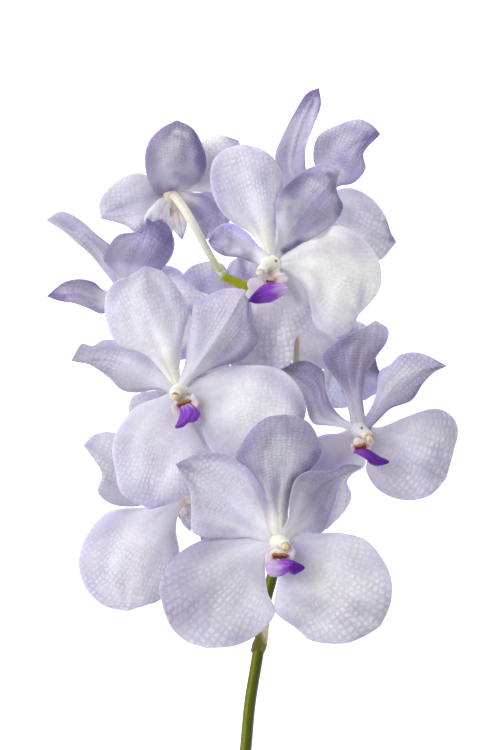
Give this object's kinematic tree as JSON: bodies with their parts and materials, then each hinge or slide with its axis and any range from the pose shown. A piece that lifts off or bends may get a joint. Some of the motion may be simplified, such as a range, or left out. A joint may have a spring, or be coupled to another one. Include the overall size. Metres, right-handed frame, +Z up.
{
  "type": "cut orchid spray",
  "caption": "Cut spray of vanda orchid laid on its side: pale lavender blooms with netted veins and small violet lips, on curved pedicels along one arched green stem.",
  "frame": {"origin": "middle of the spray's box, on the surface that it lies on", "axes": "+Y along the stem from its cut end towards the tip, +Z up from the surface towards the eye that the front blooms face, +X to the right as that eye sees it"},
  "size_m": [0.1583, 0.3554, 0.1095],
  "materials": {
    "tepal": "soft waxy petal, pale lavender with a net of violet-grey veins",
    "lip": "satin violet, deeper at the tip",
    "column": "waxy white",
    "cap": "waxy tan with a brown rim",
    "pedicel": "matte cream-green",
    "stem": "satin olive green"
  },
  "bodies": {
    "root": {"low_front_tepals": "tepal", "low_front_column": "column", "low_front_cap": "cap", "low_front_lip": "lip", "low_front_pedicel": "pedicel", "left_tepals": "tepal", "left_column": "column", "left_cap": "cap", "left_lip": "lip", "left_pedicel": "pedicel", "top_front_tepals": "tepal", "top_front_column": "column", "top_front_cap": "cap", "top_front_lip": "lip", "top_front_pedicel": "pedicel", "right_tepals": "tepal", "right_column": "column", "right_cap": "cap", "right_lip": "lip", "right_pedicel": "pedicel", "back_view_tepals": "tepal", "back_view_column": "column", "back_view_cap": "cap", "back_view_lip": "lip", "back_view_pedicel": "pedicel", "far_left_tepals": "tepal", "far_left_column": "column", "far_left_cap": "cap", "far_left_lip": "lip", "far_left_pedicel": "pedicel", "top_back_tepals": "tepal", "top_back_column": "column", "top_back_cap": "cap", "top_back_lip": "lip", "top_back_pedicel": "pedicel", "low_back_tepals": "tepal", "low_back_column": "column", "low_back_cap": "cap", "low_back_lip": "lip", "low_back_pedicel": "pedicel", "right_back_tepals": "tepal", "right_back_column": "column", "right_back_cap": "cap", "right_back_lip": "lip", "right_back_pedicel": "pedicel", "left_back_tepals": "tepal", "left_back_column": "column", "left_back_cap": "cap", "left_back_lip": "lip", "left_back_pedicel": "pedicel", "stem": "stem"}
  },
  "joints": []
}
